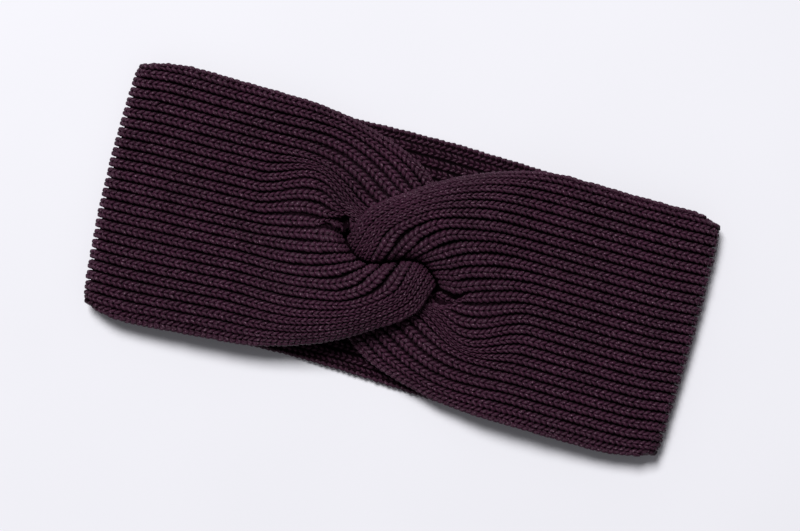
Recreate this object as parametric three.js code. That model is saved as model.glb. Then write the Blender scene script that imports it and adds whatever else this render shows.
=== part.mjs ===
// Ear warmer headband of chunky rib knit, lying flat on its plain back. Millimetres, +Z up, +X along it.
// One strip is sewn into a loop. Its two ends are folded in half lengthwise, hooked into each other and
// sewn, which makes the twist at the front. Across a strip, v runs from -1 at its lower edge to +1 at its
// upper edge.
import * as THREE from "three";

// Band
const bandWidth = 102;
const wall = 3.5;
const clearance = 0.3;
const waleCount = 25;
const ribDepth = 0.9;

// Side folds
const rightReach = 124.4;
const leftReach = 118.9;
const foldHeight = 10.4;
const cornerRadius = 9;
const cornerShare = 0.8;

// Twist
const knotSpread = 60;
const footHeight = 12.6;
const knotHeight = 23;
const tipHeight = 17;
const seamLength = 41.7;
const seamTurn = -11.9;
const seamSway = 4.9;
const seamDrop = 0.4;
const rollReach = 10;
const rollDepthShare = 0.85;
const underPuff = 3.5;
const hookShare = 0.06;
const leftLean = -2.75;

// Worked out from the sizes above
const halfWidth = bandWidth / 2;
const layerStep = wall + clearance;
const backTop = wall;
const lyingTop = backTop + clearance + wall;
const seamFloor = backTop + clearance + seamDrop;
const domeRise = knotHeight - lyingTop;

// Where the guide wales of one folded end go down at the seam, from its lower edge to its upper edge.
// seam: share of the seam from the hook to the far tip. dive: plan angle in degrees from the seam back
// along the wale. roll: share of rollReach.
const seamWales = [
  { v: -1.0, seam: 1.0, dive: 262, roll: 0.55 },
  { v: -0.8, seam: 0.77, dive: 266, roll: 0.55 },
  { v: -0.6, seam: 0.52, dive: 270, roll: 0.55 },
  { v: -0.4, seam: 0.27, dive: 272, roll: 0.55 },
  { v: -0.2, seam: 0.08, dive: 290, roll: 0.55 },
  { v: 0.0, seam: 0.0, dive: 352, roll: 0.6 },
  { v: 0.15, seam: 0.1, dive: 372, roll: 0.7 },
  { v: 0.3, seam: 0.25, dive: 390, roll: 0.8 },
  { v: 0.45, seam: 0.44, dive: 420, roll: 0.95 },
  { v: 0.6, seam: 0.68, dive: 438, roll: 1.0 },
  { v: 0.8, seam: 0.84, dive: 436, roll: 1.0 },
  { v: 1.0, seam: 1.0, dive: 430, roll: 1.0 },
];
// Where the same wales pass over the lobe, near the seam, and over its shoulder, midway: X as a share of
// knotSpread, Y of halfWidth, Z of domeRise above a strip that lies on the back.
const lobeWales = [
  { v: -1.0, nearX: -0.1, nearY: -0.718, nearZ: 0.08, midX: 0.367, midY: -0.933, midZ: 0.07 },
  { v: -0.8, nearX: 0.117, nearY: -0.592, nearZ: 0.19, midX: 0.433, midY: -0.773, midZ: 0.17 },
  { v: -0.6, nearX: 0.3, nearY: -0.388, nearZ: 0.28, midX: 0.533, midY: -0.557, midZ: 0.31 },
  { v: -0.4, nearX: 0.425, nearY: -0.345, nearZ: 0.35, midX: 0.6, midY: -0.469, midZ: 0.4 },
  { v: -0.2, nearX: 0.483, nearY: -0.239, nearZ: 0.4, midX: 0.65, midY: -0.271, midZ: 0.48 },
  { v: 0.0, nearX: 0.55, nearY: -0.09, nearZ: 0.52, midX: 0.7, midY: -0.045, midZ: 0.55 },
  { v: 0.15, nearX: 0.5, nearY: 0.051, nearZ: 0.67, midX: 0.667, midY: 0.106, midZ: 0.65 },
  { v: 0.3, nearX: 0.397, nearY: 0.188, nearZ: 0.85, midX: 0.567, midY: 0.263, midZ: 0.79 },
  { v: 0.45, nearX: 0.242, nearY: 0.318, nearZ: 1.0, midX: 0.5, midY: 0.412, midZ: 0.89 },
  { v: 0.6, nearX: 0.1, nearY: 0.404, nearZ: 1.04, midX: 0.45, midY: 0.565, midZ: 0.86 },
  { v: 0.8, nearX: 0.042, nearY: 0.494, nearZ: 0.87, midX: 0.433, midY: 0.724, midZ: 0.7 },
  { v: 1.0, nearX: 0.007, nearY: 0.588, nearZ: 0.62, midX: 0.483, midY: 0.882, midZ: 0.4 },
];
// How much of leftLean the left end's mid and near points take.
const leanShares = { mid: 0.75, near: 0.35 };

// Edges of the front strips, as shares of halfWidth, at shares of the way from the twist's foot to the side
// fold. The left strip is turned half round, so its upper edge here is its lower edge on the band.
const rightEdges = [
  { at: 0.0, lower: -1.0, upper: 1.0 },
  { at: 0.35, lower: -1.01, upper: 0.996 },
  { at: 0.8, lower: -1.016, upper: 0.992 },
  { at: 1.0, lower: -0.99, upper: 0.996 },
];
const leftEdges = [
  { at: 0.0, lower: -1.054, upper: 0.946 },
  { at: 0.35, lower: -1.06, upper: 0.972 },
  { at: 0.8, lower: -1.068, upper: 1.0 },
  { at: 1.0, lower: -1.045, upper: 0.995 },
];

// How far each side fold stands out across the strip, as shares of its reach.
const rightFold = [
  { v: -1, reach: 0.988 },
  { v: -0.4, reach: 0.997 },
  { v: 0.2, reach: 1.003 },
  { v: 0.6, reach: 1.001 },
  { v: 1, reach: 0.997 },
];
const leftFold = [
  { v: -1, reach: 0.996 },
  { v: -0.4, reach: 1.003 },
  { v: 0.1, reach: 1.0 },
  { v: 0.6, reach: 0.985 },
  { v: 1, reach: 0.968 },
];

// Edges of the plain back between the twist's feet, as shares of halfWidth, at shares of knotSpread.
const backEdges = [
  { at: -1.0, lower: -0.94, upper: 1.045 },
  { at: -0.5, lower: -0.925, upper: 1.02 },
  { at: 0.0, lower: -0.942, upper: 1.03 },
  { at: 0.4, lower: -0.968, upper: 1.024 },
  { at: 1.0, lower: -0.995, upper: 0.998 },
];

// Stations along a strip
const foldSteps = 4;
const flatSteps = 3;
const shoulderSteps = 5;
const lobeSteps = 4;
const crestSteps = 3;
const rollSteps = 4;
const backSteps = 6;
const tiny = 1e-4;

// The stretches of a folded end, counted from its side fold to the foot of the seam
const stretchNames = ["fold", "flat", "shoulder", "lobe", "crest", "roll", "drop"];
const stretch = Object.fromEntries(stretchNames.map((name, place) => [name, place]));

// A value of a table's column, by a smooth curve through its rows.
function along(rows, key, column, at) {
  let i = 0;
  while (i < rows.length - 2 && at > rows[i + 1][key]) i += 1;
  const slope = (j) => {
    const before = rows[Math.max(j - 1, 0)];
    const after = rows[Math.min(j + 1, rows.length - 1)];
    return (after[column] - before[column]) / (after[key] - before[key]);
  };
  const span = rows[i + 1][key] - rows[i][key];
  const f = (at - rows[i][key]) / span;
  return hermite(rows[i][column], slope(i) * span, rows[i + 1][column], slope(i + 1) * span, f);
}

function hermite(p0, t0, p1, t1, f) {
  const f2 = f * f;
  const f3 = f2 * f;
  return (2 * f3 - 3 * f2 + 1) * p0 + (f3 - 2 * f2 + f) * t0 + (3 * f2 - 2 * f3) * p1 + (f3 - f2) * t1;
}

function curvePoint(p0, t0, p1, t1, f) {
  return new THREE.Vector3(
    hermite(p0.x, t0.x, p1.x, t1.x, f),
    hermite(p0.y, t0.y, p1.y, t1.y, f),
    hermite(p0.z, t0.z, p1.z, t1.z, f),
  );
}

function ease(f) {
  return f * f * (3 - 2 * f);
}

// The seam runs from the right end's hook to the left end's hook and sways to both sides of a straight line.
const seamAngle = THREE.MathUtils.degToRad(seamTurn);
const seamStart = new THREE.Vector2(Math.cos(seamAngle), Math.sin(seamAngle)).multiplyScalar(seamLength / 2);
const seamSide = new THREE.Vector2(-Math.sin(seamAngle), Math.cos(seamAngle));

function seamPoint(s) {
  return seamStart
    .clone()
    .multiplyScalar(1 - 2 * s)
    .addScaledVector(seamSide, seamSway * Math.sin(2 * Math.PI * s));
}

function seamHeading(s) {
  return seamStart
    .clone()
    .multiplyScalar(-2)
    .addScaledVector(seamSide, 2 * Math.PI * seamSway * Math.cos(2 * Math.PI * s))
    .normalize();
}

function seamNormal(s) {
  const heading = seamHeading(s);
  return new THREE.Vector2(heading.y, -heading.x);
}

function crestHeight(s) {
  return tipHeight + (knotHeight - tipHeight) * Math.sin(Math.PI * s);
}

// Where a wale of a folded end goes down into the seam, and how high its lobe stands there. The upper half
// lies on the seam's upper side. The lower half lies beyond the other end's wall, and the two halves join
// round that wall at the hook.
function slotPlace(v) {
  const seamAt = (side) => along(seamWales, "v", "seam", side);
  const hookSide = Math.sign(v) * hookShare;
  const start = seamAt(hookSide);
  const s = THREE.MathUtils.clamp((seamAt(v) - start) / (1 - start), 0, 1);
  const under = layerStep + underPuff;
  if (v >= hookShare) {
    return { plan: seamPoint(s).addScaledVector(seamNormal(s), clearance / 2), crest: crestHeight(s) };
  }
  if (v <= -hookShare) {
    const plan = seamPoint(s).addScaledVector(seamNormal(s), -(clearance / 2 + layerStep));
    return { plan, crest: crestHeight(s) - under };
  }
  const turn = (v / hookShare) * (Math.PI / 2);
  const hookRadius = wall / 2 + clearance;
  const plan = seamPoint(0)
    .addScaledVector(seamNormal(0), -(clearance + wall) / 2 + hookRadius * Math.sin(turn))
    .addScaledVector(seamHeading(0), -hookRadius * Math.cos(turn));
  return { plan, crest: tipHeight - under * (1 - ease((v / hookShare + 1) / 2)) };
}

// Heights and edges of the flat front strip between the twist's foot and the side fold.
function frontHeight(share) {
  return THREE.MathUtils.lerp(footHeight, foldHeight, ease(share));
}

function frontPoint(side, v, share) {
  const reach = side.reach * along(side.fold, "v", "reach", v) - cornerInset(v) - foldHeight / 2;
  const lower = along(side.edges, "at", "lower", share);
  const upper = along(side.edges, "at", "upper", share);
  return new THREE.Vector3(
    THREE.MathUtils.lerp(knotSpread, reach, share),
    halfWidth * THREE.MathUtils.lerp(lower, upper, (v + 1) / 2),
    frontHeight(share),
  );
}

// A side fold's rounded corners, which end cornerShare of the way round to the strip's edge.
function cornerInset(v) {
  const into = Math.max(0, 1 - (1 - Math.abs(v)) / (cornerRadius / halfWidth));
  const deepest = 1 - (1 - cornerShare) ** 2;
  return cornerRadius * (1 - Math.sqrt(1 - deepest * into * into));
}

// A strip's outer face as one path along each wale, from its side fold to the foot of the seam. The whole
// part of t says which stretch the point lies on. depth is how far it lies behind the face.
function wrapPoint(side, v, t, depth) {
  const part = Math.min(Math.floor(t), stretch.drop);
  const f = t - part;
  if (part === stretch.fold) return foldPoint(side, v, f, depth);
  if (part === stretch.flat) return frontPoint(side, v, 1 - f).add(new THREE.Vector3(0, 0, -depth));
  const face = twistPoint(side, v, part, f);
  return depth === 0 ? face : face.addScaledVector(twistNormal(side, v, part, f), -depth);
}

function twistPoint(side, v, part, f) {
  const place = slotPlace(v);
  const dive = THREE.MathUtils.degToRad(along(seamWales, "v", "dive", v));
  const out = new THREE.Vector2(Math.cos(dive), Math.sin(dive));
  const roll = rollReach * along(seamWales, "v", "roll", v);
  if (part === stretch.roll) {
    const turn = f * (Math.PI / 2);
    const depth = rollDepth(roll, place.crest);
    const plan = place.plan.clone().addScaledVector(out, roll * (1 - Math.sin(turn)));
    return new THREE.Vector3(plan.x, plan.y, place.crest - depth * (1 - Math.cos(turn)));
  }
  if (part === stretch.drop) {
    const top = place.crest - rollDepth(roll, place.crest);
    return new THREE.Vector3(place.plan.x, place.plan.y, THREE.MathUtils.lerp(top, seamFloor, f));
  }
  const guide = (name) =>
    new THREE.Vector3(
      knotSpread * along(lobeWales, "v", name + "X", v),
      halfWidth * along(lobeWales, "v", name + "Y", v) + side.lean * leanShares[name],
      lyingTop + domeRise * along(lobeWales, "v", name + "Z", v),
    );
  const crest = place.plan.clone().addScaledVector(out, roll);
  const top = new THREE.Vector3(crest.x, crest.y, place.crest);
  const points = [frontPoint(side, v, 0), guide("mid"), guide("near"), top];
  const gaps = [0, 1, 2].map((i) => points[i].distanceTo(points[i + 1]));
  const through = (i) =>
    points[i]
      .clone()
      .sub(points[i - 1])
      .multiplyScalar(gaps[i] / gaps[i - 1])
      .addScaledVector(points[i + 1].clone().sub(points[i]), gaps[i - 1] / gaps[i])
      .divideScalar(gaps[i] + gaps[i - 1]);
  const inward = new THREE.Vector3(-1, 0, 0);
  const headings = [inward, through(1), through(2), new THREE.Vector3(-out.x, -out.y, 0)];
  const i = part - stretch.shoulder;
  const length = gaps[i];
  const from = headings[i].clone().multiplyScalar(length);
  const to = headings[i + 1].clone().multiplyScalar(length);
  return curvePoint(points[i], from, points[i + 1], to, f);
}

function rollDepth(roll, crest) {
  return Math.min(rollDepthShare * roll, crest - seamFloor - clearance);
}

// The upper quarter of a side fold, from its outermost line up to the flat front.
function foldPoint(side, v, f, depth) {
  const radius = foldHeight / 2;
  const turn = f * (Math.PI / 2);
  const top = frontPoint(side, v, 1);
  const along = (radius - depth) * Math.cos(turn);
  return new THREE.Vector3(top.x + along, top.y, radius + (radius - depth) * Math.sin(turn));
}

// The outward normal of the twisted end's face, by small steps along and across its wales.
function twistNormal(side, v, part, f) {
  const alongWale = twistPoint(side, v, part, Math.min(f + tiny, 1)).sub(
    twistPoint(side, v, part, Math.max(f - tiny, 0)),
  );
  const across = twistPoint(side, Math.min(v + tiny, 1), part, f).sub(
    twistPoint(side, Math.max(v - tiny, -1), part, f),
  );
  return across.cross(alongWale).normalize();
}

// Places across a strip: the middle of each wale and the grooves between wales.
const acrossRibs = Array.from({ length: 2 * waleCount + 1 }, (_, i) => i / waleCount - 1);
const acrossPlain = acrossRibs.filter((_, i) => i % 2 === 0);

// One knitted wall: a ribbed face and a plain face a wall's thickness behind it, closed at edges and ends.
function knitWall(stations, pointAt, grooveAt) {
  const ribbed = stations.map((t) => acrossRibs.map((v, i) => pointAt(v, t, i % 2 === 0 ? grooveAt(t) : 0)));
  const plain = stations.map((t) => acrossPlain.map((v) => pointAt(v, t, wall)));
  return closedBody(ribbed, plain);
}

// A closed body between two sheets of rows, whose rows start and end together.
function closedBody(front, back) {
  const positions = [];
  const place = (row) => row.map((p) => positions.push(p.x, p.y, p.z) / 3 - 1);
  const frontRows = front.map(place);
  const backRows = back.map(place);
  const triangles = [];
  const quad = (a, b, c, d) => triangles.push(a, b, c, a, c, d);
  const last = front.length - 1;
  for (let i = 0; i < last; i += 1) {
    for (let j = 0; j < front[0].length - 1; j += 1) {
      quad(frontRows[i][j], frontRows[i][j + 1], frontRows[i + 1][j + 1], frontRows[i + 1][j]);
    }
    for (let j = 0; j < back[0].length - 1; j += 1) {
      quad(backRows[i][j + 1], backRows[i][j], backRows[i + 1][j], backRows[i + 1][j + 1]);
    }
    quad(frontRows[i + 1][0], backRows[i + 1][0], backRows[i][0], frontRows[i][0]);
    quad(frontRows[i].at(-1), backRows[i].at(-1), backRows[i + 1].at(-1), frontRows[i + 1].at(-1));
  }
  closeEnd(frontRows[0], backRows[0], (a, b, c) => triangles.push(a, b, c));
  closeEnd(frontRows[last], backRows[last], (a, b, c) => triangles.push(a, c, b));
  const geometry = new THREE.BufferGeometry();
  geometry.setAttribute("position", new THREE.Float32BufferAttribute(positions, 3));
  geometry.setIndex(triangles);
  geometry.computeVertexNormals();
  return geometry;
}

// Closes the end between a finely and a coarsely divided row.
function closeEnd(fine, coarse, face) {
  const ratio = (fine.length - 1) / (coarse.length - 1);
  for (let j = 0; j < coarse.length - 1; j += 1) {
    const half = Math.floor(ratio / 2);
    for (let k = 0; k < ratio; k += 1) {
      const near = k < half ? coarse[j] : coarse[j + 1];
      face(near, fine[j * ratio + k + 1], fine[j * ratio + k]);
    }
    face(coarse[j], coarse[j + 1], fine[j * ratio + half]);
  }
}

function spread(steps, from, to) {
  return Array.from({ length: steps }, (_, i) => from + ((to - from) * i) / steps);
}

// The folded front end of one side, from just above its side fold's outermost line to the seam. Its ribs
// flatten as they go down into the seam.
function wrapGeometry(side) {
  const foldStart = Math.asin(clearance / foldHeight) / (Math.PI / 2);
  const stations = [
    ...spread(foldSteps, stretch.fold + foldStart, stretch.flat),
    ...spread(flatSteps, stretch.flat, stretch.shoulder),
    ...spread(shoulderSteps, stretch.shoulder, stretch.lobe),
    ...spread(lobeSteps, stretch.lobe, stretch.crest),
    ...spread(crestSteps, stretch.crest, stretch.roll),
    ...spread(rollSteps, stretch.roll, stretch.drop),
    stretch.drop,
    stretch.drop + 1,
  ];
  const grooveAt = (t) => ribDepth * THREE.MathUtils.clamp(stretch.drop - t, 0, 1);
  return knitWall(stations, (v, t, depth) => wrapPoint(side, v, t, depth), grooveAt);
}

// The plain back: its ribbed inner face, flat from fold to fold and turned up through a quarter at each
// end. It runs from the right fold to the left one, so that it carries the strip on round.
function backPoint(v, t, depth) {
  if (t < 1 || t > 2) {
    const side = t < 1 ? rightSide : leftSide;
    const turned = t < 1 ? 1 : -1;
    const rim = frontPoint(side, v * turned, 1);
    const turn = (t < 1 ? 1 - t : t - 2) * (Math.PI / 2);
    const radius = foldHeight / 2 - wall + depth;
    const x = rim.x + radius * Math.sin(turn);
    return new THREE.Vector3(x * turned, rim.y * turned, foldHeight / 2 - radius * Math.cos(turn));
  }
  const ends = [frontPoint(rightSide, v, 1).x, -frontPoint(leftSide, -v, 1).x];
  const x = THREE.MathUtils.lerp(ends[0], ends[1], t - 1);
  return new THREE.Vector3(x, backEdge(v, x), wall - depth);
}

function backEdge(v, x) {
  const share = (v + 1) / 2;
  if (Math.abs(x) <= knotSpread) {
    const lower = along(backEdges, "at", "lower", x / knotSpread);
    const upper = along(backEdges, "at", "upper", x / knotSpread);
    return halfWidth * THREE.MathUtils.lerp(lower, upper, share);
  }
  const side = x < 0 ? leftSide : rightSide;
  const turned = Math.sign(x);
  const reach = frontPoint(side, v * turned, 1).x;
  const toFold = (Math.abs(x) - knotSpread) / (reach - knotSpread);
  const under = backEdges[x < 0 ? 0 : backEdges.length - 1];
  const atFoot = halfWidth * THREE.MathUtils.lerp(under.lower, under.upper, share);
  const atFold = turned * frontPoint(side, v * turned, 1).y;
  return THREE.MathUtils.lerp(atFoot, atFold, toFold);
}

function backGeometry() {
  const foldEnd = Math.acos(clearance / foldHeight) / (Math.PI / 2);
  const stations = [
    ...spread(foldSteps, 1 - foldEnd, 1),
    ...spread(backSteps, 1, 2),
    ...Array.from({ length: foldSteps + 1 }, (_, i) => 2 + (foldEnd * i) / foldSteps),
  ];
  return knitWall(stations, backPoint, () => ribDepth);
}

const rightSide = { reach: rightReach, fold: rightFold, edges: rightEdges, lean: 0 };
const leftSide = { reach: leftReach, fold: leftFold, edges: leftEdges, lean: leftLean };

const yarn = { color: 0x3e2632, roughness: 0.95, metalness: 0 };

function knitMesh(name, geometry) {
  const mesh = new THREE.Mesh(geometry, new THREE.MeshStandardMaterial(yarn));
  mesh.name = name;
  return mesh;
}

// The origin lies under the middle of the band's outline, on the surface that it rests on.
const headband = new THREE.Group();
const rightWrap = knitMesh("right_wrap", wrapGeometry(rightSide));
const leftWrap = knitMesh("left_wrap", wrapGeometry(leftSide));
leftWrap.rotation.z = Math.PI;
headband.add(knitMesh("back_band", backGeometry()), rightWrap, leftWrap);
const outline = new THREE.Box3().setFromObject(headband, true);
const middle = outline.getCenter(new THREE.Vector3());
headband.position.set(-middle.x, -middle.y, -outline.min.z);

export default headband;
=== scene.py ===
# Ear warmer headband of chunky rib knit with a front twist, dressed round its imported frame. Metres, +Z up.
import math

import bpy
import numpy as np
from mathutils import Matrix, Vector


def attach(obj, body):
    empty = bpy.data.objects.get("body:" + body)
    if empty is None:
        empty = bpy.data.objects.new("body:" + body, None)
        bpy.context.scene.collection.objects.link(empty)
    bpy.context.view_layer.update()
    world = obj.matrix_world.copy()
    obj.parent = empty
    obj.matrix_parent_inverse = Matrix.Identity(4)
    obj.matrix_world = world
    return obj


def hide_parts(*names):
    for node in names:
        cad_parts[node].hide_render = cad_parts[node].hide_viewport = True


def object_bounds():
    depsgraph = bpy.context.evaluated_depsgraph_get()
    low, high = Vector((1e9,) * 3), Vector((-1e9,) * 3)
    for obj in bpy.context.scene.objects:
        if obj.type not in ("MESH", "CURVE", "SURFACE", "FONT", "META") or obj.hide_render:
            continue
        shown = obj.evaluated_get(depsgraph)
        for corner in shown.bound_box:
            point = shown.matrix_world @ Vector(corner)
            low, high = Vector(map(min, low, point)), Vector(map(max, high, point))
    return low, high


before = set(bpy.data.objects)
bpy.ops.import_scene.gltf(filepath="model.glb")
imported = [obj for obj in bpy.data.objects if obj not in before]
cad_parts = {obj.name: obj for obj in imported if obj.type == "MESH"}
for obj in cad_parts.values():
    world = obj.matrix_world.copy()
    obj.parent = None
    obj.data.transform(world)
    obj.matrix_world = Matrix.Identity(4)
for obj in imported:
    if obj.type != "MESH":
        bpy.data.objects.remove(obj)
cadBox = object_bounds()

mm = 0.001
tiny = 1e-9

# The strip, in millimetres from the middle of the twist. v runs across it, from -1 at its lower edge to +1.
band = {
    "width": 102.0,
    "wall": 3.5,
    "wales": 25,  # knit columns across the strip
    "gap": 0.3,  # between strips that touch
}
sideFolds = {
    "rightReach": 124.4,
    "leftReach": 118.9,
    "height": 10.4,
    "cornerRadius": 9.0,
    "cornerShare": 0.8,
}
twist = {
    "spread": 60.0,  # from the middle to each foot, where the strips lie flat again
    "footHeight": 12.6,
    "knotHeight": 23.0,
    "tipHeight": 17.0,
    "seamLength": 41.7,
    "seamTurn": -11.9,  # degrees
    "seamSway": 4.9,
    "seamDrop": 0.4,
    "rollReach": 10.0,
    "rollDepthShare": 0.85,
    "underPuff": 3.5,
    "hookShare": 0.06,
    "leftLean": -2.75,
    "midLean": 0.75,
    "nearLean": 0.35,
    "pitX": 21.7,  # a narrow hollow beside the left strip's end of the seam, in that strip's own frame
    "pitY": -9.3,
    "pitLong": 5.6,
    "pitWide": 1.8,
    "pitBluntness": 4,  # a power, for how sharply its two ends stop
    "pitTurn": 10.0,  # degrees
    "pitDepth": 2.5,
    "pitFloor": 7.6,
    "pitOpen": 0.5,  # no stitch shows where more than this share of the pit's depth is reached, so the near-black backing shows there as painted shade
}

halfWidth = band["width"] / 2
layerStep = band["wall"] + band["gap"]
lyingTop = band["wall"] + layerStep
seamFloor = layerStep + twist["seamDrop"]
domeRise = twist["knotHeight"] - lyingTop

# Where the guide wales of a folded end go down at the seam: v, share of the seam, dive in degrees, share of
# rollReach
seamWales = [
    (-1.0, 1.0, 262, 0.55),
    (-0.8, 0.77, 266, 0.55),
    (-0.6, 0.52, 270, 0.55),
    (-0.4, 0.27, 272, 0.55),
    (-0.2, 0.08, 290, 0.55),
    (0.0, 0.0, 352, 0.6),
    (0.15, 0.1, 372, 0.7),
    (0.3, 0.25, 390, 0.8),
    (0.45, 0.44, 420, 0.95),
    (0.6, 0.68, 438, 1.0),
    (0.8, 0.84, 436, 1.0),
    (1.0, 1.0, 430, 1.0),
]
# Where they pass over the lobe and over its shoulder: v, near x, y, z, mid x, y, z, as shares of spread,
# halfWidth and domeRise
lobeWales = [
    (-1.0, -0.1, -0.718, 0.08, 0.367, -0.933, 0.07),
    (-0.8, 0.117, -0.592, 0.19, 0.433, -0.773, 0.17),
    (-0.6, 0.3, -0.388, 0.28, 0.533, -0.557, 0.31),
    (-0.4, 0.425, -0.345, 0.35, 0.6, -0.469, 0.4),
    (-0.2, 0.483, -0.239, 0.4, 0.65, -0.271, 0.48),
    (0.0, 0.55, -0.09, 0.52, 0.7, -0.045, 0.55),
    (0.15, 0.5, 0.051, 0.67, 0.667, 0.106, 0.65),
    (0.3, 0.397, 0.188, 0.85, 0.567, 0.263, 0.79),
    (0.45, 0.242, 0.318, 1.0, 0.5, 0.412, 0.89),
    (0.6, 0.1, 0.404, 1.04, 0.45, 0.565, 0.86),
    (0.8, 0.042, 0.494, 0.87, 0.433, 0.724, 0.7),
    (1.0, 0.007, 0.588, 0.62, 0.483, 0.882, 0.4),
]
# Edges of the front strips: share of the way from foot to fold, lower and upper edge as shares of halfWidth
rightEdges = [(0.0, -1.0, 1.0), (0.35, -1.01, 0.996), (0.8, -1.016, 0.992), (1.0, -0.99, 0.996)]
leftEdges = [(0.0, -1.054, 0.946), (0.35, -1.06, 0.972), (0.8, -1.068, 1.0), (1.0, -1.045, 0.995)]
# How far the side folds stand out: v, share of the reach
rightFold = [(-1.0, 0.988), (-0.4, 0.997), (0.2, 1.003), (0.6, 1.001), (1.0, 0.997)]
leftFold = [(-1.0, 0.996), (-0.4, 1.003), (0.1, 1.0), (0.6, 0.985), (1.0, 0.968)]
# Edges of the plain back: share of spread, lower and upper edge as shares of halfWidth
backEdges = [
    (-1.0, -0.94, 1.045),
    (-0.5, -0.925, 1.02),
    (0.0, -0.942, 1.03),
    (0.4, -0.968, 1.024),
    (1.0, -0.995, 0.998),
]
# How far the wales of a folded end drift across it on their way to the seam: v, drift
waleDrift = [
    (-1.0, 0.0),
    (-0.8, -0.02),
    (-0.6, -0.06),
    (-0.4, -0.1),
    (-0.2, -0.12),
    (-0.08, -0.08),
    (0.0, -0.04),
    (0.2, 0.0),
    (1.0, 0.0),
]

rightSide = {"reach": sideFolds["rightReach"], "fold": rightFold, "edges": rightEdges, "lean": 0.0, "pit": 0}
leftSide = {
    "reach": sideFolds["leftReach"],
    "fold": leftFold,
    "edges": leftEdges,
    "lean": twist["leftLean"],
    "pit": 1,  # only this side has it
}


def hermite(p0, t0, p1, t1, f):
    f2, f3 = f * f, f * f * f
    return (2 * f3 - 3 * f2 + 1) * p0 + (f3 - 2 * f2 + f) * t0 + (3 * f2 - 2 * f3) * p1 + (f3 - f2) * t1


def along(rows, column, at):  # a smooth curve through one column of a table
    key = np.array([row[0] for row in rows], float)
    value = np.array([row[column] for row in rows], float)
    first, last = (value[1] - value[0]) / (key[1] - key[0]), (value[-1] - value[-2]) / (key[-1] - key[-2])
    slope = np.concatenate(([first], (value[2:] - value[:-2]) / (key[2:] - key[:-2]), [last]))
    at = np.asarray(at, float)
    i = np.clip(np.searchsorted(key, at, side="right") - 1, 0, len(key) - 2)
    span = key[i + 1] - key[i]
    return hermite(value[i], slope[i] * span, value[i + 1], slope[i + 1] * span, (at - key[i]) / span)


def ease(f):
    return f * f * (3 - 2 * f)


def lerp(a, b, f):
    return a + (b - a) * f


def unit(vectors):
    return vectors / np.maximum(np.linalg.norm(vectors, axis=-1, keepdims=True), tiny)


# The seam runs from the right end's hook to the left end's hook and sways to both sides of a straight line
seamAngle = math.radians(twist["seamTurn"])
seamStart = np.array((math.cos(seamAngle), math.sin(seamAngle))) * twist["seamLength"] / 2
seamSide = np.array((-math.sin(seamAngle), math.cos(seamAngle)))


def seamPoint(s):
    sway = twist["seamSway"] * np.sin(2 * np.pi * s)
    return (1 - 2 * s)[:, None] * seamStart + sway[:, None] * seamSide


def seamHeading(s):
    sway = 2 * np.pi * twist["seamSway"] * np.cos(2 * np.pi * s)
    return unit(-2 * seamStart + sway[:, None] * seamSide)


def slotPlace(v):  # where wales go down into the seam, and how high their lobe stands there
    hook = twist["hookShare"]
    start = along(seamWales, 1, np.where(v >= 0, hook, -hook) * (np.abs(v) > 0))
    s = np.clip((along(seamWales, 1, v) - start) / (1 - start), 0, 1)
    inHook = np.clip(v / hook, -1, 1)
    s = np.where(np.abs(inHook) < 1, 0.0, s)
    turn = inHook * np.pi / 2
    radius = band["wall"] / 2 + band["gap"]
    heading = seamHeading(s)
    normal = np.stack((heading[:, 1], -heading[:, 0]), axis=1)
    aside = -(band["gap"] + band["wall"]) / 2 + radius * np.sin(turn)
    plan = seamPoint(s) + normal * aside[:, None] - heading * (radius * np.cos(turn))[:, None]
    crest = twist["tipHeight"] + (twist["knotHeight"] - twist["tipHeight"]) * np.sin(np.pi * s)
    under = layerStep + twist["underPuff"]
    return plan, crest - under * (1 - ease((inHook + 1) / 2))


def cornerInset(v):
    radius = sideFolds["cornerRadius"]
    into = np.maximum(0, 1 - (1 - np.abs(v)) / (radius / halfWidth))
    deepest = 1 - (1 - sideFolds["cornerShare"]) ** 2
    return radius * (1 - np.sqrt(1 - deepest * into * into))


def frontPoint(side, v, share):  # the flat front strip, from the twist's foot to the side fold
    reach = side["reach"] * along(side["fold"], 1, v) - cornerInset(v) - sideFolds["height"] / 2
    lower, upper = along(side["edges"], 1, share), along(side["edges"], 2, share)
    x = lerp(twist["spread"], reach, share)
    y = halfWidth * lerp(lower, upper, (v + 1) / 2)
    z = np.full_like(v, lerp(twist["footHeight"], sideFolds["height"], ease(share)))
    return np.stack((x, y, z), axis=1)


def foldPoint(side, v, f):  # the upper quarter of a side fold
    radius = sideFolds["height"] / 2
    turn = f * np.pi / 2
    top = frontPoint(side, v, 1.0)
    z = np.full_like(v, radius + radius * np.sin(turn))
    return np.stack((top[:, 0] + radius * np.cos(turn), top[:, 1], z), axis=1)


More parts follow.
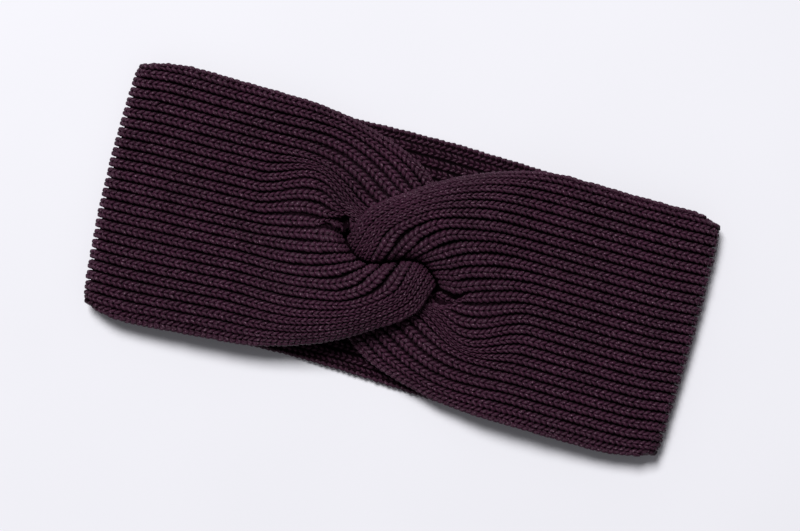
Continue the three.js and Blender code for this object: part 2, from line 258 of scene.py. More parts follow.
def twistPoints(side, v, parts):  # the folded end: for each (stretch, f), the points across the strip
    plan, crestZ = slotPlace(v)
    dive = np.radians(along(seamWales, 2, v))
    out = np.stack((np.cos(dive), np.sin(dive)), axis=1)
    roll = twist["rollReach"] * along(seamWales, 3, v)
    depth = np.minimum(twist["rollDepthShare"] * roll, crestZ - seamFloor - band["gap"])
    guides = []
    for first, lean in ((4, twist["midLean"]), (1, twist["nearLean"])):
        x = twist["spread"] * along(lobeWales, first, v)
        y = halfWidth * along(lobeWales, first + 1, v) + side["lean"] * lean
        z = lyingTop + domeRise * along(lobeWales, first + 2, v)
        guides.append(np.stack((x, y, z), axis=1))
    top = np.concatenate((plan + out * roll[:, None], crestZ[:, None]), axis=1)
    points = [frontPoint(side, v, 0.0), *guides, top]
    gaps = [np.linalg.norm(points[i + 1] - points[i], axis=1)[:, None] for i in range(3)]

    def through(i):
        before = (points[i] - points[i - 1]) * gaps[i] / gaps[i - 1]
        after = (points[i + 1] - points[i]) * gaps[i - 1] / gaps[i]
        return (before + after) / (gaps[i] + gaps[i - 1])

    flat = np.zeros((len(v), 1))
    inward = np.tile((-1.0, 0.0, 0.0), (len(v), 1))
    headings = [inward, through(1), through(2), np.concatenate((-out, flat), axis=1)]
    made = []
    for part, f in parts:
        if part < 3:
            leave, arrive = headings[part] * gaps[part], headings[part + 1] * gaps[part]
            made.append(hermite(points[part], leave, points[part + 1], arrive, f))
        elif part == 3:
            turn = f * np.pi / 2
            ahead = plan + out * (roll * (1 - math.sin(turn)))[:, None]
            made.append(np.concatenate((ahead, (crestZ - depth * (1 - math.cos(turn)))[:, None]), axis=1))
        else:
            made.append(np.concatenate((plan, lerp(crestZ - depth, seamFloor, f)[:, None]), axis=1))
    return made


foldLap = 4  # steps by which a strip's grid runs on past the outermost line of a side fold


def pitShare(x, y):  # how deep the pit is at a place in the left strip's own frame, from 0 to 1
    turn = math.radians(twist["pitTurn"])
    dx, dy = x - twist["pitX"], y - twist["pitY"]
    aside = (dx * math.cos(turn) + dy * math.sin(turn)) / twist["pitWide"]
    lengthwise = (dy * math.cos(turn) - dx * math.sin(turn)) / twist["pitLong"]
    return np.exp(-aside ** 2 - lengthwise ** twist["pitBluntness"])


def pitDrop(side, points):  # how far the pit takes a point down
    drop = twist["pitDepth"] * pitShare(points[..., 0], points[..., 1])
    return side["pit"] * np.minimum(drop, np.maximum(0, points[..., 2] - twist["pitFloor"]))


def wrapSheet(side, v, steps):  # a front strip's outer face, from its side fold to the foot of the seam
    rows = [foldPoint(side, v, f) for f in np.arange(-foldLap, steps["fold"]) / steps["fold"]]
    rows += [frontPoint(side, v, 1 - f) for f in np.linspace(0, 1, steps["flat"], endpoint=False)]
    parts = []
    for part, name in enumerate(("shoulder", "lobe", "crest", "roll", "drop")):
        parts += [(part, f) for f in np.linspace(0, 1, steps[name], endpoint=name == "drop")]
    sheet = np.stack(rows + twistPoints(side, v, parts), axis=1)
    sheet[..., 2] -= pitDrop(side, sheet)
    return sheet * (-1, -1, 1) if side is leftSide else sheet


def backEdge(v, x):  # how far up or down the band a wale of the plain back lies
    share = (v + 1) / 2
    within = np.clip(x / twist["spread"], -1, 1)
    middle = halfWidth * lerp(along(backEdges, 1, within), along(backEdges, 2, within), share)
    placed = middle
    for side, turned in ((rightSide, 1), (leftSide, -1)):
        rim = frontPoint(side, v * turned, 1.0)
        toFold = np.clip((x * turned - twist["spread"]) / (rim[:, 0] - twist["spread"]), 0, 1)
        placed = np.where(x * turned > twist["spread"], lerp(middle, rim[:, 1] * turned, toFold), placed)
    return placed


def backSheet(v, depth, steps):  # a face of the plain back, from the right fold to the left one
    radius = sideFolds["height"] / 2 - band["wall"] + depth
    rightRim, leftRim = frontPoint(rightSide, v, 1.0), frontPoint(leftSide, -v, 1.0) * (-1, -1, 1)

    def foldRow(rim, out, f):
        turn = f * np.pi / 2
        z = np.full_like(v, sideFolds["height"] / 2 - radius * math.cos(turn))
        return np.stack((rim[:, 0] + out * radius * math.sin(turn), rim[:, 1], z), axis=1)

    rows = [foldRow(rightRim, 1, 1 - f) for f in np.arange(-foldLap, steps["fold"]) / steps["fold"]]
    for f in np.linspace(0, 1, steps["back"], endpoint=False):
        x = lerp(rightRim[:, 0], leftRim[:, 0], f)
        rows.append(np.stack((x, backEdge(v, x), np.full_like(v, band["wall"] - depth)), axis=1))
    rows += [foldRow(leftRim, -1, f) for f in np.arange(0, steps["fold"] + foldLap + 1) / steps["fold"]]
    return np.stack(rows, axis=1)


# A strip as a grid: points across it in rows of v, and outward normals
perWale = 4  # grid places to a wale
steps = {"fold": 12, "flat": 34, "shoulder": 30, "lobe": 26, "crest": 14, "roll": 16, "drop": 6, "back": 110}
across = np.linspace(-1, 1, band["wales"] * perWale + 1)


def normalsOf(grid, outward):
    turned = np.cross(np.gradient(grid, axis=0), np.gradient(grid, axis=1))
    return unit(turned) * outward


rightGrid = wrapSheet(rightSide, across, steps)
leftGrid = wrapSheet(leftSide, across, steps)
underGrid = backSheet(across, band["wall"], steps)
insideGrid = backSheet(across, 0.0, steps)
allPoints = np.concatenate([grid.reshape(-1, 3) for grid in (rightGrid, leftGrid, underGrid)])
middle = (allPoints.max(axis=0) + allPoints.min(axis=0)) / 2  # the CAD's origin lies under it
cadMiddle = (np.array(cadBox[0]) + np.array(cadBox[1])) / 2 / mm
knot = np.array((cadMiddle[0] - middle[0], cadMiddle[1] - middle[1], 0.0))
strips = {
    "right": {"face": rightGrid, "outward": 1, "knits": -1, "drifts": 1},
    "left": {"face": leftGrid, "outward": 1, "knits": 1, "drifts": 1},
    "back": {"face": underGrid, "outward": -1, "knits": 1, "drifts": 0},
    "inside": {"face": insideGrid, "outward": 1, "knits": 1, "drifts": 0},
}
for name, strip in strips.items():
    strip["normal"] = normalsOf(strip["face"], strip["outward"])
print("strips laid out, knot at", np.round(knot, 2), "mm")


flatEnd = foldLap + steps["fold"] + steps["flat"]
lobeEnd = flatEnd + steps["shoulder"] + steps["lobe"]


def acrossAt(grid, place):  # a line along a grid, at a place across it for each step
    lower = np.clip(np.floor(place).astype(int), 0, len(grid) - 2)
    step = np.arange(grid.shape[1])
    return lerp(grid[lower, step], grid[lower + 1, step], (place - lower)[:, None])


# One wale, or a line beside it: its middle line with a frame at each place along it
def waleLine(strip, v, tilt=0.0, deeper=0.0, width=None, shaded=1.0):
    face, normal = strip["face"], strip["normal"]
    onTheWay = np.clip((np.arange(face.shape[1]) - flatEnd) / (lobeEnd - flatEnd), 0, 1)
    drifting = ease(onTheWay) * strip["drifts"]
    halfWale = 1 / band["wales"]
    places = []
    for v2 in (v, max(v - halfWale, -1.0), min(v + halfWale, 1.0)):
        places.append((v2 + along(waleDrift, 1, v2) * drifting + 1) / 2 * (len(face) - 1))
    line, up = acrossAt(face, places[0]), acrossAt(normal, places[0])
    heading = unit(np.gradient(line, axis=0))
    up = unit(up - (up * heading).sum(axis=1)[:, None] * heading)
    side = np.cross(heading, up) * strip["outward"]
    if width is None:
        reach = acrossAt(face, places[2]) - acrossAt(face, places[1])
        reach = reach - (reach * heading).sum(axis=1)[:, None] * heading
        width = np.linalg.norm(reach, axis=1)
    length = np.concatenate(([0.0], np.cumsum(np.linalg.norm(np.diff(line, axis=0), axis=1))))
    leaning = math.radians(tilt)
    return {
        "line": line - up * deeper,
        "up": up * math.cos(leaning) + side * math.sin(leaning),
        "side": side * math.cos(leaning) - up * math.sin(leaning),
        "width": np.broadcast_to(width, len(line)),
        "shaded": shaded,
        "length": length - length[foldLap],
    }


# One stitch leg: rings from the point of the V, which comes up through the stitch below, to the top, which
# tucks away behind the next one. Shares of the course for along, of the wale's width for aside and wide.
stitch = {
    "course": 2.37,  # mm from one V to the next
    "rings": [  # along, aside, depth in mm, wide, thick in mm
        (-0.30, 0.03, 2.00, 0.09, 0.50),
        (-0.02, 0.085, 1.20, 0.16, 0.82),
        (0.27, 0.165, 0.88, 0.185, 0.88),
        (0.56, 0.25, 0.96, 0.18, 0.88),
        (0.82, 0.315, 1.50, 0.145, 0.78),
        (1.02, 0.34, 2.30, 0.09, 0.50),
    ],
    "sides": 6,
    "unevenness": 0.055,  # of each stitch's size and place
    "depthUnevenness": 0.08,  # mm
    "leastShaded": 0.3,  # share of the painted crevice shade left where wales are pressed together
    "patternShift": 10,  # mm, the most by which a leg's plies start elsewhere than its neighbour's
    "seed": 41,
}
# The back's stitches, mostly out of sight, have fewer sides and rings
hiddenStitch = dict(stitch, sides=5, rings=stitch["rings"][::2] + stitch["rings"][-1:])
rng = np.random.default_rng(stitch["seed"])


def sample(wale, key, at):  # a wale's frame at places along it
    values = wale[key]
    if values.ndim == 1:
        return np.interp(at, wale["length"], values)
    return np.stack([np.interp(at, wale["length"], values[:, i]) for i in range(3)], axis=-1)


def stitchLegs(wale, knits, start, stop, yarn):  # the two legs of every V on a stretch of a wale
    course = yarn["course"]
    first, last = math.ceil(start / course), math.floor(stop / course)
    if last <= first:
        return None
    count = last - first
    rings = np.array(yarn["rings"])

    def uneven():
        return 1 + yarn["unevenness"] * rng.standard_normal((count, 1))

    places = np.arange(first, last) + 0.5 + 0.5 * yarn["unevenness"] * rng.standard_normal(count)
    made = []
    for hand in (-1, 1):
        at = (places[:, None] + knits * (rings[:, 0] - rings[:, 0].mean()) * uneven()) * course
        up, side = unit(sample(wale, "up", at)), unit(sample(wale, "side", at))
        width = sample(wale, "width", at)
        size = uneven()
        aside = hand * rings[:, 1] * width * uneven()
        deep = rings[:, 2] + yarn["depthUnevenness"] * rng.standard_normal((count, 1))
        centre = sample(wale, "line", at) + side * aside[..., None] - up * deep[..., None]
        run = unit(np.gradient(centre, axis=1))
        rise = unit(up - (up * run).sum(axis=2)[..., None] * run)
        flank = np.cross(run, rise)
        turn = np.arange(yarn["sides"]) * 2 * np.pi / yarn["sides"]
        wide = (rings[:, 3] * width * size)[..., None, None] * np.cos(turn)[:, None]
        thick = (rings[:, 4] * size)[..., None, None] * np.sin(turn)[:, None]
        tube = centre[:, :, None] + flank[:, :, None] * wide + rise[:, :, None] * thick
        ends = centre[:, [0, -1]] + run[:, [0, -1]] * (rings[[0, -1], 4] * (-0.5, 0.5))[:, None]
        # Depth of each point below the face, which darkens the yarn as painted crevice shade; less on the
        # rims and where wales are pressed together
        pressed = np.clip(width / (band["width"] / band["wales"]), yarn["leastShaded"], 1)
        shadeDepth = (deep[..., None] - thick[..., 0]) * wale["shaded"] * pressed[..., None]
        shadeDepth = np.concatenate((shadeDepth.reshape(count, -1), (deep * pressed)[:, [0, -1]]), axis=1)
        middles = centre.mean(axis=1)
        # Stitches deep in the pit are left out, so the near-black backing shows there as painted shade
        shown = pitShare(-middles[:, 0], -middles[:, 1]) < twist["pitOpen"]
        runs = np.linalg.norm(np.diff(centre, axis=1), axis=2)
        made.append((tube[shown], ends[shown], runs[shown], shadeDepth[shown]))
    return made


def legMesh(name, groups, yarn):  # one mesh of all the legs, with the run and turn of each yarn as its UVs
    everyLeg = [legs for group in groups if group for legs in group]
    tubes, ends, runs, shadeDepth = (np.concatenate(part) for part in zip(*everyLeg))
    legs, rings, sides = tubes.shape[:3]
    perLeg = rings * sides + 2
    points = np.concatenate((tubes.reshape(legs, -1, 3), ends), axis=1).reshape(-1, 3)
    firsts = (np.arange(legs) * perLeg)[:, None, None, None]
    ring = np.arange(rings - 1)[None, :, None, None] * sides
    here = np.arange(sides)[None, None, :, None]
    beside = (here + 1) % sides
    nextRing = ring + sides
    quads = np.concatenate((ring + here, nextRing + here, nextRing + beside, ring + beside), axis=3) + firsts
    here, beside = here[0, 0, :, 0], beside[0, 0, :, 0]
    foot, tip = np.full(sides, rings * sides), np.full(sides, rings * sides + 1)
    lastRing = (rings - 1) * sides
    caps = np.concatenate((
        np.stack((here, beside, foot), axis=1),
        np.stack((lastRing + beside, lastRing + here, tip), axis=1),
    ))
    caps = caps[None] + firsts[:, 0]
    lengths = np.concatenate((np.zeros((legs, 1)), np.cumsum(runs, axis=1)), axis=1)
    lengths += yarn["patternShift"] * rng.random((legs, 1))
    turnHere, turnBeside = np.arange(sides) / sides, (np.arange(sides) + 1) / sides
    quadUv = np.empty((legs, rings - 1, sides, 4, 2))
    quadUv[..., [0, 3], 0], quadUv[..., [1, 2], 0] = lengths[:, :-1, None, None], lengths[:, 1:, None, None]
    quadUv[..., [0, 1], 1], quadUv[..., [2, 3], 1] = turnHere[:, None], turnBeside[:, None]
    capUv = np.empty((legs, 2 * sides, 3, 2))
    capUv[:, :sides, :, 0], capUv[:, sides:, :, 0] = lengths[:, 0, None, None], lengths[:, -1, None, None]
    capUv[:, :sides, :, 1] = np.stack((turnHere, turnBeside, turnHere), axis=1)
    capUv[:, sides:, :, 1] = np.stack((turnBeside, turnHere, turnHere), axis=1)
    uv = np.concatenate((quadUv.reshape(-1, 2), capUv.reshape(-1, 2)))
    made = meshObject(name, points, quads.reshape(-1, 4), caps.reshape(-1, 3), "yarn", uv)
    depths = made.data.attributes.new("shadeDepth", "FLOAT", "POINT")
    depths.data.foreach_set("value", shadeDepth.astype(np.float32).ravel())
    return made


def meshObject(name, points, quads, triangles, uvName, uv):
    mesh = bpy.data.meshes.new(name)
    placed = (points + knot) * mm
    placed[:, 2] = np.maximum(placed[:, 2], 0)  # pressed flat where it rests on the surface
    mesh.vertices.add(len(placed))
    mesh.vertices.foreach_set("co", placed.astype(np.float32).ravel())
    corners = np.concatenate((quads.ravel(), triangles.ravel())).astype(np.int32)
    starts = np.concatenate((np.arange(len(quads)) * 4, len(quads) * 4 + np.arange(len(triangles)) * 3))
    mesh.loops.add(len(corners))
    mesh.loops.foreach_set("vertex_index", corners)
    mesh.polygons.add(len(starts))
    mesh.polygons.foreach_set("loop_start", starts.astype(np.int32))
    mesh.polygons.foreach_set("use_smooth", np.ones(len(starts), bool))
    mesh.uv_layers.new(name=uvName).uv.foreach_set("vector", uv.astype(np.float32).ravel())
    mesh.update(calc_edges=True)
    made = bpy.data.objects.new(name, mesh)
    bpy.context.scene.collection.objects.link(made)
    return made


# What each strip shows: its wales, their stretch in mm, and the piece that each stretch goes to
cover = {
    "edgeTilt": 24,  # degrees, of the outermost wales
    "edgeDrop": 0.35,
    "rimTilt": 92,  # of the wale that goes round the edge itself
    "rimWidth": 3.1,
    "rimShaded": 0.45,  # share of a face's painted crevice shade
    "rimRelief": 0.45,  # share of a face's relief
    "split": 29 * stitch["course"],  # where a front's stitches change from the flat piece to the lobe piece
    "seamDepth": 2.0,  # mm of stitches down into the seam
}


def faceWales(strip, kept=None):  # the wales of a face, or only those in kept
    wales = []
    for k in range(band["wales"]) if kept is None else kept:
        outer = {0: -1, band["wales"] - 1: 1}.get(k, 0)
        tilt, deeper = cover["edgeTilt"] * outer, cover["edgeDrop"] * abs(outer)
        wales.append(waleLine(strip, (2 * k + 1) / band["wales"] - 1, tilt, deeper))
    return wales


def rimWales(strip):  # the wales that turn round the two edges
    width, deeper = cover["rimWidth"], band["wall"] / 2
    return [waleLine(strip, v, cover["rimTilt"] * v, deeper, width, cover["rimShaded"]) for v in (-1.0, 1.0)]


# A rim's stitches lie flatter than a face's, and leave the folds' corners free
def flatter(yarn):
    top = min(ring[2] for ring in yarn["rings"])
    rings = []
    for at, aside, deep, *size in yarn["rings"]:
        rings.append((at, aside, top + cover["rimRelief"] * (deep - top), *size))
    return {**yarn, "rings": rings}


def lay(wales, rims, knits, start, stops, yarn, rimRow):  # the legs of a strip's wales and rims
    legs = [stitchLegs(wale, knits, start, stop, yarn) for wale, stop in zip(wales, stops)]
    for rim, stop in zip(rims, stops[-2:]):
        legs.append(stitchLegs(rim, knits, max(start, rim["length"][rimRow]), stop, flatter(yarn)))
    return legs


rimRows = {"front": foldLap + steps["fold"] // 2, "back": foldLap + steps["fold"] + 2}
dropRow = lobeEnd + steps["crest"] + steps["roll"]
made = []
for name in ("right", "left"):
    strip = strips[name]
    wales, rims = faceWales(strip), rimWales(strip)
    knits, split = strip["knits"], cover["split"]
    seams = [wale["length"][dropRow] + cover["seamDepth"] for wale in wales + rims]
    flat = lay(wales, rims, knits, 0, [split] * len(seams), stitch, rimRows["front"])
    lobe = [stitchLegs(wale, knits, split, seam, stitch) for wale, seam in zip(wales, seams)]
    lobe += [stitchLegs(rim, knits, split, seam, flatter(stitch)) for rim, seam in zip(rims, seams[-2:])]
    made.append((legMesh(name + "_front_stitches", flat, stitch), name + "_wrap"))
    made.append((legMesh(name + "_lobe_stitches", lobe, stitch), name + "_wrap"))
strip = strips["back"]
wales, rims = faceWales(strip), rimWales(strip)
whole = [wale["length"][-1 - foldLap] for wale in wales]
whole += [rim["length"][-1 - rimRows["back"]] for rim in rims]
half = stitch["course"] * round(whole[0] / 2 / stitch["course"])
for part, start, stops in (("right", 0, [half] * len(whole)), ("left", half, whole)):
    legs = lay(wales, rims, 1, start, stops, hiddenStitch, rimRows["back"])
    made.append((legMesh("back_stitches_" + part, legs, hiddenStitch), "back_band"))

# The back's inner face: the outer wales, which show past the twist
inner = {
    "backWales": 7,  # from each edge
}


def edgeWales(count):
    return [*range(count), *range(band["wales"] - count, band["wales"])]


strip = strips["inside"]
wales = faceWales(strip, edgeWales(inner["backWales"]))
spans = [wale["length"][[rimRows["back"], -1 - rimRows["back"]]] for wale in wales]
legs = [stitchLegs(wale, 1, *span, hiddenStitch) for wale, span in zip(wales, spans)]
made.append((legMesh("back_inner_stitches", legs, hiddenStitch), "back_band"))
print("stitches made:", sum(len(piece.data.polygons) for piece, node in made), "faces")

# The backing: one closed ribbed layer a strip, which fills it between the stitches of its two faces
backing = {
    "underWales": 1.4,  # mm from the strip's face
    "underGrooves": 2.3,
    "edgeInset": 1.3,
    "innerSide": {"right": 3.2, "left": 3.2, "back": 2.7},
    "everyRow": 2,
    "everyStep": 2,
}


def backingMesh(name, strip, innerSide):
    face, normal = strip["face"], strip["normal"]
    last = face.shape[1] - 1 - (foldLap if strip["drifts"] == 0 else 0)
    rows = np.arange(0, len(face), backing["everyRow"])
    taken = np.unique(np.append(np.arange(foldLap, last, backing["everyStep"]), last))
    face, normal = face[np.ix_(rows, taken)].copy(), normal[np.ix_(rows, taken)]
    inGroove = (rows % perWale == 0)[:, None, None]
    outerSide = np.where(inGroove, backing["underGrooves"], backing["underWales"])
    for edge, within in ((0, 2), (-1, -3)):
        face[edge] += unit(face[within] - face[edge]) * backing["edgeInset"]
    outer, under = face - normal * outerSide, face - normal * innerSide
    count, places = len(rows), len(taken)
    at = np.arange(count * places).reshape(count, places)
    a, b = at, at + count * places
    quads = [np.stack((a[:-1, :-1], a[1:, :-1], a[1:, 1:], a[:-1, 1:]), axis=-1).reshape(-1, 4)]
    quads.append(np.stack((b[:-1, :-1], b[:-1, 1:], b[1:, 1:], b[1:, :-1]), axis=-1).reshape(-1, 4))
    for line, turned in ((0, 1), (-1, -1)):
        rim = np.stack((a[line, :-1], a[line, 1:], b[line, 1:], b[line, :-1]), axis=-1)
        quads.append(rim[:, ::turned])
        rim = np.stack((a[:-1, line], b[:-1, line], b[1:, line], a[1:, line]), axis=-1)
        quads.append(rim[:, ::turned])
    quads = np.concatenate(quads)
    if strip["outward"] < 0:
        quads = quads[:, ::-1]
    course = np.concatenate((
        np.zeros((count, 1)),
        np.cumsum(np.linalg.norm(np.diff(face, axis=1), axis=2), axis=1) / stitch["course"],
    ), axis=1)
    wale = np.broadcast_to(rows[:, None] / perWale, course.shape)
    uv = np.stack((course, wale), axis=-1).reshape(-1, 2)
    uv = np.concatenate((uv, uv))[quads.ravel()]
    noTriangles = np.zeros((0, 3), int)
    points = np.concatenate((outer.reshape(-1, 3), under.reshape(-1, 3)))
    return meshObject(name, points, quads, noTriangles, "knit", uv)


backings = {}
for name, node in (("right", "right_wrap"), ("left", "left_wrap"), ("back", "back_band")):
    backings[name] = backingMesh(name + "_backing", strips[name], backing["innerSide"][name])
    made.append((backings[name], node))
print("backings made:", ", ".join(piece.name for piece in backings.values()))


# Shader helpers. noiseRange is where nearly all of a noise texture's values lie.
noiseRange = (0.3, 0.7)


def addNode(tree, kind, inputs=None, **settings):
    made = tree.nodes.new("ShaderNode" + kind)
    for key, value in settings.items():
        setattr(made, key, value)
    for key, value in (inputs or {}).items():
        if isinstance(value, bpy.types.NodeSocket):
            tree.links.new(value, made.inputs[key])
        else:
            made.inputs[key].default_value = value
    return made


def maths(tree, operation, *values):
    return addNode(tree, "Math", dict(enumerate(values)), operation=operation).outputs[0]


def remap(tree, value, fromMin, fromMax, toMin, toMax):
    ends = {"Value": value, "From Min": fromMin, "From Max": fromMax, "To Min": toMin, "To Max": toMax}
    return addNode(tree, "MapRange", ends).outputs["Result"]


def mixColours(tree, factor, a, b):
    return addNode(tree, "Mix", {0: factor, 6: a, 7: b}, data_type="RGBA").outputs[2]


def newMaterial(name):
    material = bpy.data.materials.new(name)
    material.use_nodes = True
    return material, material.node_tree, material.node_tree.nodes["Principled BSDF"]


# The wool's colour, for the stitches and what lies behind them: uneven dye, and pale flecks that are partly
# loose fibre and partly painted glints, all scaled by the Shade input, which carries painted shade and fibre
# tone
wool = {
    "colour": (0.0425, 0.0096, 0.0268, 1),
    # pale flecks, partly loose fibre and partly painted glints
    "glintFleck": (0.26, 0.15, 0.21, 1),
    "patchesPerMetre": 70,
    "patchDetail": 3,
    "patchStrength": 0.16,
    "flecksPerMetre": 1500,
    "fleckDetail": 2,
    "fleckStart": 0.60,  # noise values
    "fleckFull": 0.80,
}


def woolGroup():
    tree = bpy.data.node_groups.new("wool with painted shade and glints", "ShaderNodeTree")
    tree.interface.new_socket("Shade", in_out="INPUT", socket_type="NodeSocketFloat").default_value = 1
    tree.interface.new_socket("Colour", in_out="OUTPUT", socket_type="NodeSocketColor")
    given, result = tree.nodes.new("NodeGroupInput"), tree.nodes.new("NodeGroupOutput")
    where = addNode(tree, "TexCoord").outputs["Object"]
    broad = {"Vector": where, "Scale": wool["patchesPerMetre"], "Detail": wool["patchDetail"]}
    fine = {"Vector": where, "Scale": wool["flecksPerMetre"], "Detail": wool["fleckDetail"]}
    patches, specks = addNode(tree, "TexNoise", broad), addNode(tree, "TexNoise", fine)
    strength = wool["patchStrength"]
    patchShade = remap(tree, patches.outputs["Fac"], *noiseRange, 1 - strength, 1 + strength)
    patched = {0: wool["colour"][:3], "Scale": patchShade}
    dyed = addNode(tree, "VectorMath", patched, operation="SCALE").outputs[0]
    glintFleck = remap(tree, specks.outputs["Fac"], wool["fleckStart"], wool["fleckFull"], 0, 1)
    shaded = {0: mixColours(tree, glintFleck, dyed, wool["glintFleck"]), "Scale": given.outputs["Shade"]}
    shadedWool = addNode(tree, "VectorMath", shaded, operation="SCALE").outputs[0]
    tree.links.new(shadedWool, result.inputs["Colour"])
    return tree


woolWithPaintedShade = woolGroup()


def woolColour(tree, shade):
    made = tree.nodes.new("ShaderNodeGroup")
    made.node_tree = woolWithPaintedShade
    tree.links.new(shade, made.inputs["Shade"])
    return made.outputs["Colour"]


# Plied yarn: the plies wind round each leg, with fine fibres along them
yarnLook = {
    "plies": 3,
    "plyLength": 1.9,  # mm along the yarn from one ply to the next
    "plyShade": 0.35,  # painted shade: how much darker the grooves between the plies are
    "plyRoundness": 0.6,  # a power: below 1 the plies are broad and the lines between them narrow
    "fibresPerMm": 3.5,
    "fibreDetail": 4,
    "fibreRoughness": 0.7,
    "fibreShade": 0.25,
    "fibreHeight": 0.4,  # of a ply's height
    "bump": 0.00012,  # metres
    "bumpStrength": 0.8,
    "shadedFrom": 0.2,  # mm below the face, where the painted crevice shade starts to darken the yarn
    "shadedTo": 1.5,
    "deepShade": 0.12,
    "roughness": (0.42, 0.68),
    "specular": 0.19,
    "sheen": 0.05,
    "sheenRoughness": 0.4,
    "sheenTint": (0.75, 0.55, 0.68, 1),
}


def yarnMaterial():
    material, tree, shader = newMaterial("plied wool yarn")
    place = addNode(tree, "UVMap", uv_map="yarn").outputs["UV"]
    parts = addNode(tree, "SeparateXYZ", {"Vector": place}).outputs
    plies = yarnLook["plies"]
    wound = maths(tree, "MULTIPLY_ADD", parts["X"], 1 / (yarnLook["plyLength"] * plies), parts["Y"])
    angle = maths(tree, "MULTIPLY", wound, 2 * math.pi)
    ply = maths(tree, "MULTIPLY_ADD", maths(tree, "COSINE", maths(tree, "MULTIPLY", angle, plies)), 0.5, 0.5)
    ply = maths(tree, "POWER", ply, yarnLook["plyRoundness"])
    onYarn = {"X": parts["X"], "Y": maths(tree, "COSINE", angle), "Z": maths(tree, "SINE", angle)}
    fine = {
        "Vector": addNode(tree, "CombineXYZ", onYarn).outputs[0],
        "Scale": yarnLook["fibresPerMm"],
        "Detail": yarnLook["fibreDetail"],
        "Roughness": yarnLook["fibreRoughness"],
    }
    fibre = remap(tree, addNode(tree, "TexNoise", fine).outputs["Fac"], *noiseRange, 0, 1)
    # painted shade in the grooves between the plies
    plyShade = remap(tree, ply, 0, 1, 1 - yarnLook["plyShade"], 1)
    fibreShade = remap(tree, fibre, 0, 1, 1 - yarnLook["fibreShade"], 1 + yarnLook["fibreShade"])
    # Painted shade: the deeper a point lies below the face, the darker its colour and the weaker its
    # specular level
    shadeDepth = addNode(tree, "Attribute", attribute_name="shadeDepth").outputs["Fac"]
    deepShade = remap(tree, shadeDepth, yarnLook["shadedFrom"], yarnLook["shadedTo"], 1, yarnLook["deepShade"])
    shade = maths(tree, "MULTIPLY", maths(tree, "MULTIPLY", plyShade, fibreShade), deepShade)
    shine = maths(tree, "MULTIPLY", deepShade, yarnLook["specular"])
    tree.links.new(shine, shader.inputs["Specular IOR Level"])
    tree.links.new(woolColour(tree, shade), shader.inputs["Base Color"])
    tree.links.new(remap(tree, fibre, 0, 1, *yarnLook["roughness"]), shader.inputs["Roughness"])
    height = maths(tree, "MULTIPLY_ADD", fibre, yarnLook["fibreHeight"], ply)
    relief = {"Height": height, "Distance": yarnLook["bump"], "Strength": yarnLook["bumpStrength"]}
    bump = addNode(tree, "Bump", relief)
    tree.links.new(bump.outputs["Normal"], shader.inputs["Normal"])
    shader.inputs["Sheen Weight"].default_value = yarnLook["sheen"]
    shader.inputs["Sheen Roughness"].default_value = yarnLook["sheenRoughness"]
    shader.inputs["Sheen Tint"].default_value = yarnLook["sheenTint"]
    return material


# The knit of the backing's faces: columns of V's, worked out from course and wale numbers, in near-black
# painted shade
knitLook = {
    "slant": 0.55,  # of a course, from the middle of a V to its groove
    "grooveSharpness": 4,  # a power
    "legHeight": 0.5,  # of the whole relief
    "shade": (0.03, 0.18),  # of the wool's colour, from the grooves to the tops: painted shade, near black as the backing shows only in crevices and the pit
    "bump": 0.0009,  # metres
    "roughness": 0.9,
    "specular": 0.05,
}


def knitMaterial():
    material, tree, shader = newMaterial("knit backing")
    place = addNode(tree, "UVMap", uv_map="knit").outputs["UV"]
    parts = addNode(tree, "SeparateXYZ", {"Vector": place}).outputs
    inWale = maths(tree, "FRACT", parts["Y"])
    fromMiddle = maths(tree, "ABSOLUTE", maths(tree, "MULTIPLY_ADD", inWale, 2, -1))
    course = maths(tree, "MULTIPLY_ADD", fromMiddle, knitLook["slant"], parts["X"])
    leg = maths(tree, "COSINE", maths(tree, "MULTIPLY", course, 2 * math.pi))
    leg = remap(tree, leg, -1, 1, 0, 1)
    groove = maths(tree, "SUBTRACT", 1, maths(tree, "POWER", fromMiddle, knitLook["grooveSharpness"]))
    legHeight = knitLook["legHeight"]
    height = maths(tree, "MULTIPLY", maths(tree, "MULTIPLY_ADD", leg, legHeight, 1 - legHeight), groove)
    shade = remap(tree, height, 0, 1, *knitLook["shade"])
    tree.links.new(woolColour(tree, shade), shader.inputs["Base Color"])
    bump = addNode(tree, "Bump", {"Height": height, "Distance": knitLook["bump"]})
    tree.links.new(bump.outputs["Normal"], shader.inputs["Normal"])
    shader.inputs["Roughness"].default_value = knitLook["roughness"]
    shader.inputs["Specular IOR Level"].default_value = knitLook["specular"]
    return material


yarnStuff, knitStuff = yarnMaterial(), knitMaterial()
for piece, node in made:
    piece.data.materials.append(knitStuff if piece in backings.values() else yarnStuff)
    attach(piece, "root")
    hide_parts(node)

# The pale surface that it lies on
surface = {
    "colour": (0.88, 0.875, 0.925, 1),
    "size": 4.0,  # metres
    "mottlesPerMetre": 9,
    "mottleDetail": 2,
    "mottleTones": (0.99, 1.01),
    "roughness": 0.85,
    "specular": 0.1,
}


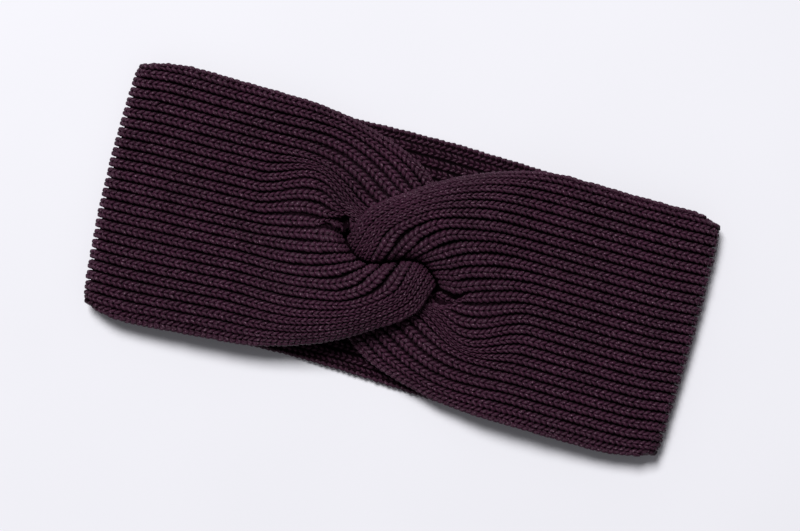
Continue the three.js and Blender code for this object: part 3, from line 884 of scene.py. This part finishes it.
def layFloor():
    corner = surface["size"] / 2
    mesh = bpy.data.meshes.new("floor")
    corners = [(-corner, -corner, 0), (corner, -corner, 0), (corner, corner, 0), (-corner, corner, 0)]
    mesh.from_pydata(corners, [], [(0, 1, 2, 3)])
    floor = bpy.data.objects.new("floor", mesh)
    bpy.context.scene.collection.objects.link(floor)
    material, tree, shader = newMaterial("matt paper")
    mottles = {
        "Vector": addNode(tree, "TexCoord").outputs["Object"],
        "Scale": surface["mottlesPerMetre"],
        "Detail": surface["mottleDetail"],
    }
    grain = addNode(tree, "TexNoise", mottles).outputs["Fac"]
    scaled = {0: surface["colour"][:3], "Scale": remap(tree, grain, *noiseRange, *surface["mottleTones"])}
    toned = addNode(tree, "VectorMath", scaled, operation="SCALE").outputs[0]
    tree.links.new(toned, shader.inputs["Base Color"])
    shader.inputs["Roughness"].default_value = surface["roughness"]
    shader.inputs["Specular IOR Level"].default_value = surface["specular"]
    mesh.materials.append(material)


layFloor()

# Light: a soft lamp beyond the band's upper left and a pale room round it
light = {
    "azimuth": 128,  # degrees from +X
    "elevation": 56,
    "distance": 4.5,  # metres
    "size": 1.65,
    "power": 218,
    "room": (0.96, 0.96, 1.0, 1),
    "roomStrength": 0.15,
}


def setLights():
    azimuth, elevation = math.radians(light["azimuth"]), math.radians(light["elevation"])
    flat = math.cos(elevation)
    toLamp = Vector((math.cos(azimuth) * flat, math.sin(azimuth) * flat, math.sin(elevation)))
    data = bpy.data.lights.new("key", "AREA")
    data.energy, data.size = light["power"], light["size"]
    lamp = bpy.data.objects.new("key", data)
    lamp.location = toLamp * light["distance"]
    lamp.rotation_euler = toLamp.to_track_quat("Z", "Y").to_euler()
    bpy.context.scene.collection.objects.link(lamp)
    world = bpy.data.worlds.new("room")
    world.use_nodes = True
    background = world.node_tree.nodes["Background"]
    background.inputs["Color"].default_value = light["room"]
    background.inputs["Strength"].default_value = light["roomStrength"]
    bpy.context.scene.world = world


setLights()

# Camera: straight above, turned so that the band lies across the picture as in the photograph
camera = {
    "height": 0.8,  # metres above the surface
    "across": 0.32,  # metres across the picture at the height in focus
    "focus": 0.004,
    "aim": (3.7, -0.67),  # mm from the middle of the twist
    "turn": 15,  # degrees
}


def setCamera():
    data = bpy.data.cameras.new("camera")
    data.lens = data.sensor_width * (camera["height"] - camera["focus"]) / camera["across"]
    made = bpy.data.objects.new("camera", data)
    made.location = ((knot[0] + camera["aim"][0]) * mm, (knot[1] + camera["aim"][1]) * mm, camera["height"])
    made.rotation_euler = (0, 0, math.radians(camera["turn"]))
    bpy.context.scene.collection.objects.link(made)
    bpy.context.scene.camera = made


setCamera()
bpy.context.scene.view_settings.view_transform = "Standard"
print("materials, lights and camera set")
